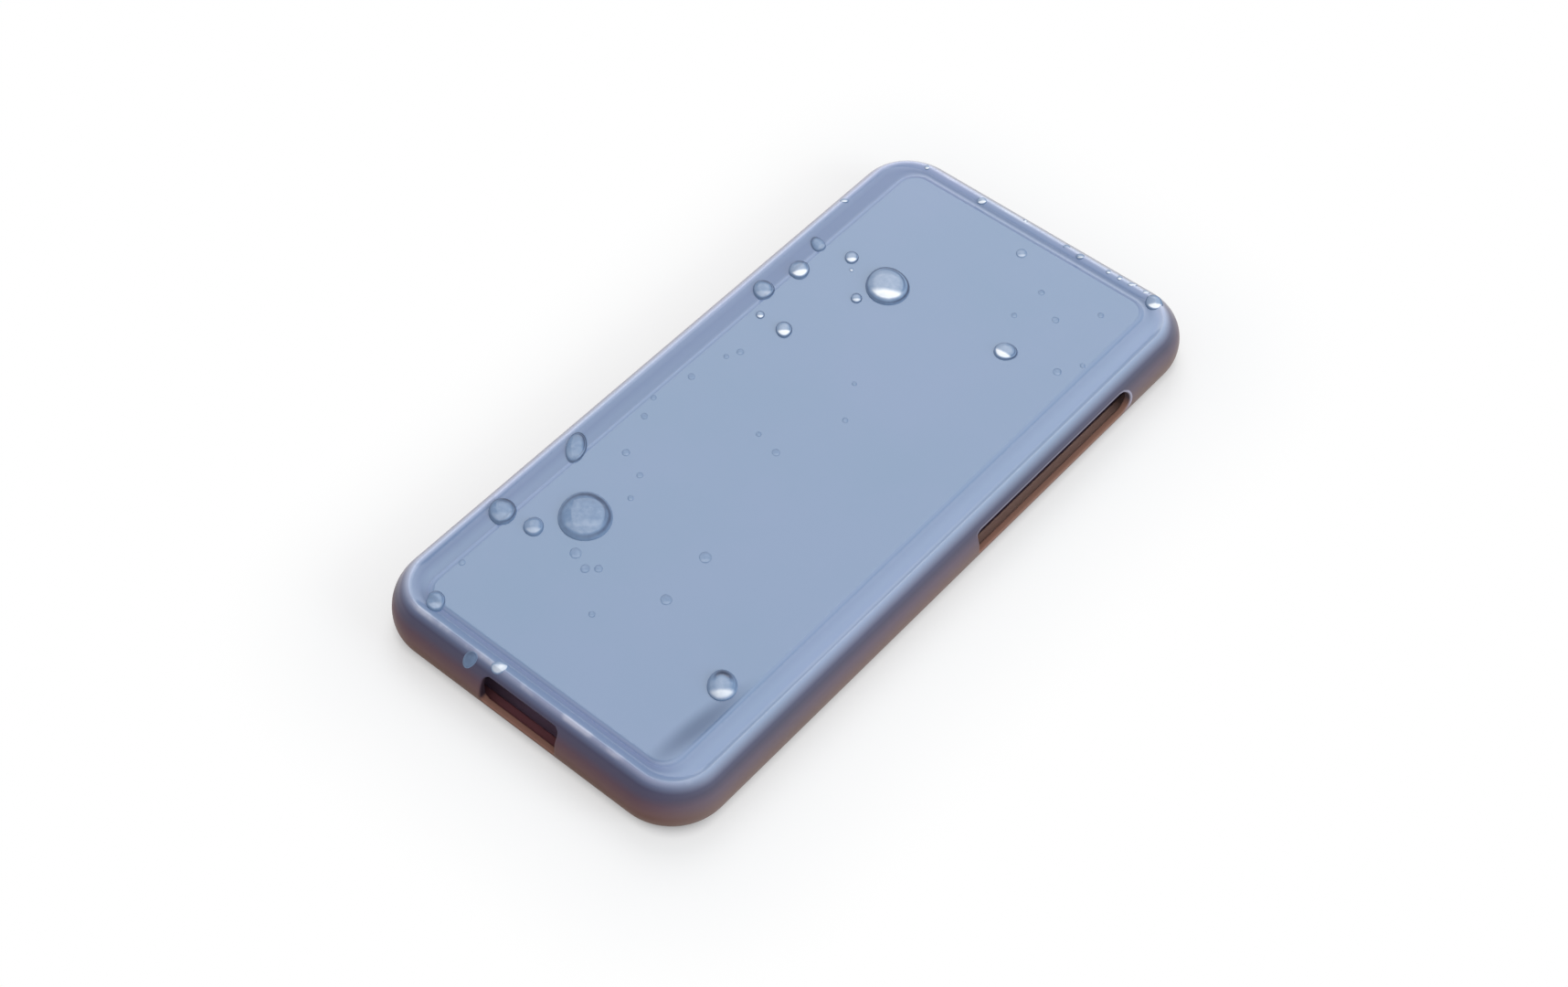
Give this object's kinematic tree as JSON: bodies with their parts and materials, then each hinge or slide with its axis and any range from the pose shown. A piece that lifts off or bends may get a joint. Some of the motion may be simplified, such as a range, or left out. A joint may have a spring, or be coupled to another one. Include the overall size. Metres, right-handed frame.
{
  "type": "phone case",
  "caption": "One-piece translucent outdoor phone case lying back up, with a rolled rim, a hollow for the phone, a port opening and a long key opening.",
  "frame": {"origin": "middle of the footprint, on the surface that the case lies on", "axes": "+Z out of the back panel, +Y along the case away from the port opening, +X towards the side with the key opening"},
  "size_m": [0.078, 0.1572, 0.011],
  "materials": {
    "shell": "smooth satin, smoky blue, slightly see-through, with a warm tint low on the sides"
  },
  "bodies": {
    "root": {"case_shell": "shell"}
  },
  "joints": []
}
